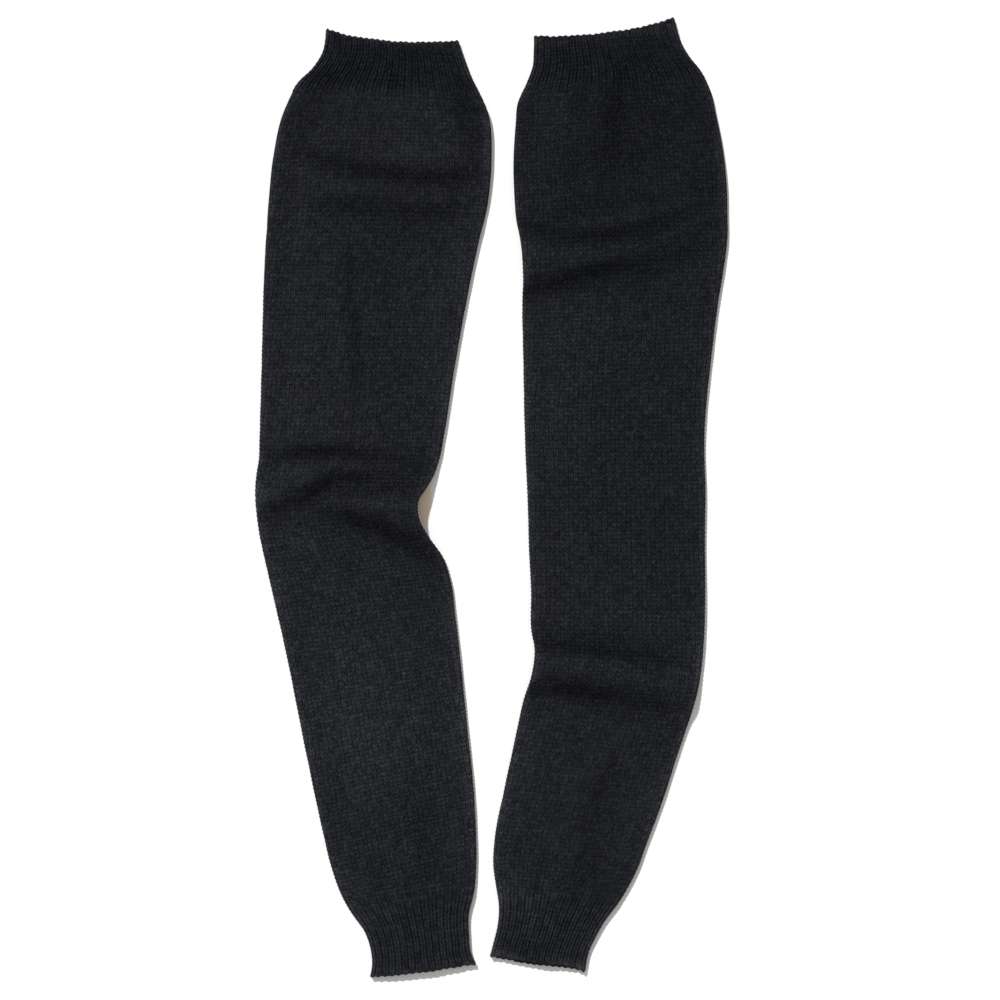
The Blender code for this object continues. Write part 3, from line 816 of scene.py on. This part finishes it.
def leg_surface(warmer, knit):
    """Points, UV and attributes of a leg: its outer face, and back up its inner face.

    The outer face has two rows to a course and WALE_STEPS columns to a wale over the front.
    Round the back the columns are wider, the widest at the middle of it. Beside a seam the
    ribs show on as streaks: a wave with two crests to a rib, and a weaker one with one.
    """
    end = distances(warmer.sections)[-1]
    start, stop = TOP_RIB_LENGTH - LEG_LAP, end - ANKLE_RIB_LENGTH + LEG_LAP
    half = COURSE / 2
    outside = (np.arange(math.ceil(start / half), math.floor(stop / half)) + 0.5) * half
    outside = np.concatenate([[start], outside, [stop]])
    inside = np.linspace(stop, start, round((stop - start) / LEG_INSIDE_STEP))
    at = np.concatenate([outside, inside])
    depth = np.concatenate([0 * outside, 0 * inside + 1])
    whole, _ = half_round(warmer.sections, at)
    whole = whole[:, None]
    wale = wale_width(warmer.sections, at)[:, None]
    count = FRONT_WALES * WALE_STEPS // 2
    fine = wale * np.arange(-count, count + 1) / WALE_STEPS
    share = (np.arange(1, BACK_STEPS + 1) / BACK_STEPS) ** BACK_GROWTH
    right = fine[:, -1:] + (whole - fine[:, -1:]) * share
    arc = np.concatenate([-right[:, ::-1], fine, right], axis=1)
    course = at[:, None] / COURSE + 0 * arc
    uv = np.stack([arc / wale, course], axis=2)
    points = tube_points(warmer, at, arc[:, :-1], depth)
    relief = stitch_relief(uv[:, :-1, 0], uv[:, :-1, 1], PLAIN) - 1
    modelled = np.abs(arc[:, :-1]) < fine[:, -1:] - wale / 2
    relief = np.where(modelled, relief, EVEN_RELIEF)
    relief[0] = relief[len(outside) - 1] = SEAM_RELIEF
    relief = relief * (1 - depth[:, None])
    # Tone holds the painted shade and light of the patches and the painted sheen on both sides
    tone = painted_shade_and_tone(points, arc[:, :-1], whole, warmer.patches)
    points = points + outward(points) * relief[:, :, None] * knit.stitch_depth
    near = np.exp(-((np.minimum(at - start, stop - at) / SEAM_BLEND) ** 2))[:, None]
    ribs = np.where(at < end / 2, TOP_RIBS, ANKLE_RIBS)[:, None]
    turn = 2 * math.pi * arc[:, :-1] * ribs / (2 * whole)
    streaks = -np.cos(2 * turn) - WEAK_STREAKS * np.cos(turn)
    tone = tone * (1 + STREAKS * near * streaks)
    return points, uv, {"Tone": tone, "Clear": 1 - LEG_SEAM_BLUR * near}


def rib_relief(rib, course, knit, groove):
    """Height of one-by-one rib: drawn-out V stitches, and a purl groove between the ribs.

    The groove is a soft step down, from GROOVE_START of a rib's half width to its side.
    """
    out = np.abs(2 * (rib % 1.0) - 1)
    strands = stitch_relief(rib, course, RIBBED)
    purl = smoothstep((out - GROOVE_START) / (1 - GROOVE_START))
    return knit.stitch_depth * (strands - 1) - knit.rib_depth * groove * purl


def rim_lumps(points, rib, from_mouth, ribs):
    """Steps that make a mouth's edge uneven: a cosine with one wave to a rib, and chance.

    They go along the tube, are longest at the mouth and die out as a bell curve.
    """
    rim = int(np.argmin(from_mouth))
    way = points[rim] - points[rim - RIM_WAY_ROWS]
    way = way / np.linalg.norm(way, axis=1, keepdims=True)
    chance = np.random.default_rng(RIM_SEED).uniform(-1, 1, ribs)
    chance = np.interp(rib % ribs, np.arange(ribs + 1), np.append(chance, chance[0]))
    size = RIM_LUMPS * (chance - np.cos(2 * math.pi * rib))
    share = np.exp(-((from_mouth / LUMP_FADE) ** 2))
    return share[:, None, None] * size[None, :, None] * way


def rib_surface(warmer, ribs, knit, at_top):
    """Points, UV and attributes of a ribbed piece: outer face, round its mouth, and inner face.

    The rows start at the seam on the outside, go to the mouth, round its edge on a half
    circle as wide as the wall, and back inside to the seam.
    """
    end = distances(warmer.sections)[-1]
    length = TOP_RIB_LENGTH if at_top else ANKLE_RIB_LENGTH
    edge = WALL / 2
    outside = np.arange(length - SEAM_EDGE, edge, -COURSE / COURSE_STEPS)
    outside = np.concatenate([[length], outside])
    round_rim = np.linspace(0, math.pi, RIM_STEPS + 2)
    inside = np.linspace(INSIDE_START, length, round(length / INSIDE_STEP))
    inside = np.concatenate([RIM_ROWS, inside])
    from_mouth = np.concatenate([outside, edge - edge * np.sin(round_rim), inside])
    depth = np.concatenate([0 * outside, (1 - np.cos(round_rim)) / 2, 0 * inside + 1])
    at = from_mouth if at_top else end - from_mouth
    whole, _ = half_round(warmer.sections, at)
    turn = np.arange(-ribs * RIB_STEPS / 2, ribs * RIB_STEPS / 2 + 1) / RIB_STEPS
    arc = whole[:, None] * turn / (ribs / 2)
    course = at[:, None] / COURSE + 0 * arc
    uv = np.stack([turn + 0 * arc, course], axis=2)
    if at_top:
        arc, uv = arc[:, ::-1], uv[:, ::-1]
    points = tube_points(warmer, at, arc[:, :-1], depth)
    points = points + rim_lumps(points, uv[0, :-1, 0], from_mouth, ribs)
    fade = (smoothstep((from_mouth - RELIEF_START) / RELIEF_RISE) * (1 - depth))[:, None]
    groove = smoothstep((length - from_mouth) / RIB_RUN_OUT)[:, None]
    relief = rib_relief(uv[:, :-1, 0], uv[:, :-1, 1], knit, groove) * fade
    # Tone holds the painted shade and light of the patches and the painted sheen on both sides
    tone = painted_shade_and_tone(points, arc[:, :-1], whole[:, None], warmer.patches)
    # painted light along the very edge of the mouth, and painted shade inside the hollow
    lip = 1 + LIP_LIGHT * np.exp(-((from_mouth / LIP_SPREAD) ** 2))
    inward = smoothstep((from_mouth - HOLLOW_START) / HOLLOW_RISE)
    hollow = 1 - HOLLOW_SHADE * depth * inward
    tone = tone * (RIB_TONE * lip * hollow)[:, None]
    at_lip = np.exp(-((from_mouth / LIP_FADE) ** 2))
    at_seam = np.exp(-(((length - from_mouth) / SEAM_BLEND) ** 2))
    clear = (1 - LIP_BLUR * at_lip) * (1 - RIB_SEAM_BLUR * at_seam)
    points = points + outward(points) * relief[:, :, None]
    return points, uv, {"Tone": tone, "Clear": clear[:, None]}


class KneeWarmerKnit(bpy.types.PropertyGroup):
    """Yarn and stitches of the pair."""

    yarn: bpy.props.FloatVectorProperty(
        name="Yarn", description="Colour of the yarn", subtype="COLOR", size=3,
        default=(0.0159, 0.0171, 0.0193), min=0.0, max=1.0,
    )
    lint_colour: bpy.props.FloatVectorProperty(
        name="Lint", description="Colour of the loose pale fibres", subtype="COLOR", size=3,
        default=(0.052, 0.055, 0.062), min=0.0, max=1.0,
    )
    lint: bpy.props.FloatProperty(
        name="Lint share", description="How strongly specks of lint show", subtype="FACTOR",
        default=0.45, min=0.0, max=1.0,
    )
    sheen: bpy.props.FloatProperty(
        name="Sheen", description="Soft edge light of the yarn's nap", subtype="FACTOR",
        default=0.02, min=0.0, max=1.0,
    )
    groove_shade: bpy.props.FloatProperty(
        name="Groove shade", description="How much darker the yarn is between its strands",
        subtype="FACTOR", default=0.65, min=0.0, max=1.0,
    )
    stitch_depth: bpy.props.FloatProperty(
        name="Stitch depth", description="Height of a strand over its groove, in millimetres",
        default=0.45, min=0.0, max=1.5,
    )
    rib_depth: bpy.props.FloatProperty(
        name="Rib depth", description="Depth of the grooves between ribs, in millimetres",
        default=0.4, min=0.0, max=2.0,
    )
    nap_depth: bpy.props.FloatProperty(
        name="Nap depth", description="Height of the finest fibres, in millimetres",
        default=0.10, min=0.0, max=1.0,
    )


class KneeWarmerStage(bpy.types.PropertyGroup):
    """Light and camera over the pair."""

    key: bpy.props.FloatProperty(
        name="Key light", description="Strength of the light from the upper left",
        default=3.55, min=0.0,
    )
    elevation: bpy.props.FloatProperty(
        name="Elevation", description="Height of the key light over the surface",
        subtype="ANGLE", default=math.radians(41.0),
    )
    azimuth: bpy.props.FloatProperty(
        name="Azimuth", description="Way that the key light comes from, anticlockwise from +X",
        subtype="ANGLE", default=math.radians(118.0),
    )
    ambient: bpy.props.FloatProperty(
        name="Ambient", description="Strength of the even light from all round",
        default=0.50, min=0.0,
    )
    lens: bpy.props.FloatProperty(
        name="Lens", description="Focal length of the camera over the pair", unit="CAMERA",
        default=85.0, min=1.0,
    )
    view_width: bpy.props.FloatProperty(
        name="View width", description="Width of the surface that the camera sees",
        subtype="DISTANCE", unit="LENGTH", default=0.630, min=0.01,
    )


def finish_named(name, knit, kind):
    """The shared material of one kind of knit."""
    return bpy.data.materials.get(name) or yarn_finish(name, knit, kind)


def lay_piece(warmer, part, surface, span, material):
    """Put one piece over its node, and hide the node.

    It also works out the piece's cut all round the tube, in metres, but keeps none of it: the
    cut is as wide as the widest way round and as long as the span of distances, and its area is
    the mean way round times that length.
    """
    node = f"{warmer.side}_{part}"
    piece = put_mesh(f"{node}_knit", *surface, material)
    start, stop = span
    whole, _ = half_round(warmer.sections, np.linspace(start, stop, CUT_ROWS))
    widest = float(2 * whole.max()) * MM
    length = float(stop - start) * MM
    area = float(2 * whole.mean()) * MM * length
    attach(piece, "root")
    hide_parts(node)


def lay_ribs(knit, part, ribs, at_top):
    """Make one ribbed piece of each warmer, and lay it over its node."""
    material = finish_named("rib_knit_yarn", knit, RIBBED)
    for warmer in PAIR:
        end = distances(warmer.sections)[-1]
        span = (0.0, TOP_RIB_LENGTH) if at_top else (end - ANKLE_RIB_LENGTH, end)
        surface = rib_surface(warmer, ribs, knit, at_top)
        lay_piece(warmer, part, surface, span, material)


class KNEEWARMERS_OT_legs(bpy.types.Operator):
    """Lay the plain legs of both warmers over their nodes"""

    bl_idname = "knee_warmers.legs"
    bl_label = "Add legs"

    def execute(self, context):
        knit = context.scene.knee_warmer_knit
        material = finish_named("plain_knit_yarn", knit, PLAIN)
        for warmer in PAIR:
            span = (TOP_RIB_LENGTH, distances(warmer.sections)[-1] - ANKLE_RIB_LENGTH)
            surface = leg_surface(warmer, knit)
            lay_piece(warmer, "leg", surface, span, material)
        return {"FINISHED"}


class KNEEWARMERS_OT_top_ribs(bpy.types.Operator):
    """Lay the ribbed tops of both warmers over their nodes"""

    bl_idname = "knee_warmers.top_ribs"
    bl_label = "Add top ribs"

    def execute(self, context):
        lay_ribs(context.scene.knee_warmer_knit, "top_rib", TOP_RIBS, at_top=True)
        return {"FINISHED"}


class KNEEWARMERS_OT_ankle_ribs(bpy.types.Operator):
    """Lay the ribbed ankles of both warmers over their nodes"""

    bl_idname = "knee_warmers.ankle_ribs"
    bl_label = "Add ankle ribs"

    def execute(self, context):
        lay_ribs(context.scene.knee_warmer_knit, "ankle_rib", ANKLE_RIBS, at_top=False)
        return {"FINISHED"}


def paper_finish():
    """Pale matt paper, with a warm shadow colour painted in a narrow place beside the knee's
    notch.
    """
    finish = Finish("floor_paper")
    where = finish.stretched(finish.place(), (WARM_NARROW, 1.0, 1.0))
    spot_x, spot_y = WARM_SHADOW_SPOT
    spot = finish.reach(where, (spot_x * WARM_NARROW, spot_y, 0.0), WARM_REACH)
    finish.shade({
        "Base Color": finish.mix(spot, PAPER, WARM_SHADOW_PAINT),
        "Roughness": PAPER_ROUGHNESS,
        "Specular IOR Level": PAPER_SPECULAR,
    })
    return finish.material


class KNEEWARMERS_OT_stage(bpy.types.Operator):
    """Set the pale floor, the studio light and the camera straight above"""

    bl_idname = "knee_warmers.stage"
    bl_label = "Set the stage"

    def execute(self, context):
        scene = context.scene
        stage = scene.knee_warmer_stage
        self.add_floor(scene)
        self.add_light(scene, stage)
        self.add_camera(scene, stage)
        scene.view_settings.view_transform = "Standard"
        scene.view_settings.look = "None"
        return {"FINISHED"}

    def add_floor(self, scene):
        """A large flat square just under the pair."""
        mesh = bpy.data.meshes.new("floor")
        side = FLOOR_HALF
        corners = [(-side, -side), (side, -side), (side, side), (-side, side)]
        mesh.from_pydata([(x, y, -FLOOR_DROP) for x, y in corners], [], [(0, 1, 2, 3)])
        floor = bpy.data.objects.new("floor", mesh)
        scene.collection.objects.link(floor)
        mesh.materials.append(paper_finish())

    def add_light(self, scene, stage):
        """An even white surround and a small soft key from the upper left."""
        world = bpy.data.worlds.new("studio")
        world.use_nodes = True
        background = world.node_tree.nodes["Background"]
        background.inputs["Color"].default_value = SURROUND
        background.inputs["Strength"].default_value = stage.ambient
        scene.world = world
        light = bpy.data.lights.new("key", "SUN")
        light.energy = stage.key
        light.angle = math.radians(SUN_ANGLE)
        key = bpy.data.objects.new("key", light)
        flat, up = math.cos(stage.elevation), math.sin(stage.elevation)
        toward = Vector((flat * math.cos(stage.azimuth), flat * math.sin(stage.azimuth), up))
        key.rotation_euler = toward.to_track_quat("Z", "Y").to_euler()
        scene.collection.objects.link(key)

    def add_camera(self, scene, stage):
        """A long lens straight above the pair, with +Y at the top of the picture."""
        lens = bpy.data.cameras.new("camera")
        lens.lens = stage.lens
        lens.sensor_width = SENSOR
        camera = bpy.data.objects.new("camera", lens)
        height = stage.view_width * stage.lens / SENSOR
        camera.location = (*VIEW_MIDDLE, height)
        scene.collection.objects.link(camera)
        scene.camera = camera


STEPS = (
    KNEEWARMERS_OT_legs,
    KNEEWARMERS_OT_top_ribs,
    KNEEWARMERS_OT_ankle_ribs,
    KNEEWARMERS_OT_stage,
)


class KNEEWARMERS_PT_panel(bpy.types.Panel):
    """Lists the pieces of the pair and the stage"""

    bl_idname = "KNEEWARMERS_PT_panel"
    bl_label = "Knee warmers"
    bl_space_type = "VIEW_3D"
    bl_region_type = "UI"
    bl_category = "Knee warmers"

    def draw(self, context):
        for kind in STEPS:
            self.layout.operator(kind.bl_idname)
        for group in (context.scene.knee_warmer_knit, context.scene.knee_warmer_stage):
            for name in type(group).__annotations__:
                self.layout.prop(group, name)


CLASSES = (KneeWarmerKnit, KneeWarmerStage, *STEPS, KNEEWARMERS_PT_panel)


def register():
    for kind in CLASSES:
        bpy.utils.register_class(kind)
    bpy.types.Scene.knee_warmer_knit = bpy.props.PointerProperty(type=KneeWarmerKnit)
    bpy.types.Scene.knee_warmer_stage = bpy.props.PointerProperty(type=KneeWarmerStage)


def unregister():
    del bpy.types.Scene.knee_warmer_stage
    del bpy.types.Scene.knee_warmer_knit
    for kind in reversed(CLASSES):
        bpy.utils.unregister_class(kind)


def main():
    """Register the add-on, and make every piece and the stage."""
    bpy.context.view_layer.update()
    register()
    bpy.ops.knee_warmers.legs()
    bpy.ops.knee_warmers.top_ribs()
    bpy.ops.knee_warmers.ankle_ribs()
    bpy.ops.knee_warmers.stage()


if __name__ == "__main__":
    main()
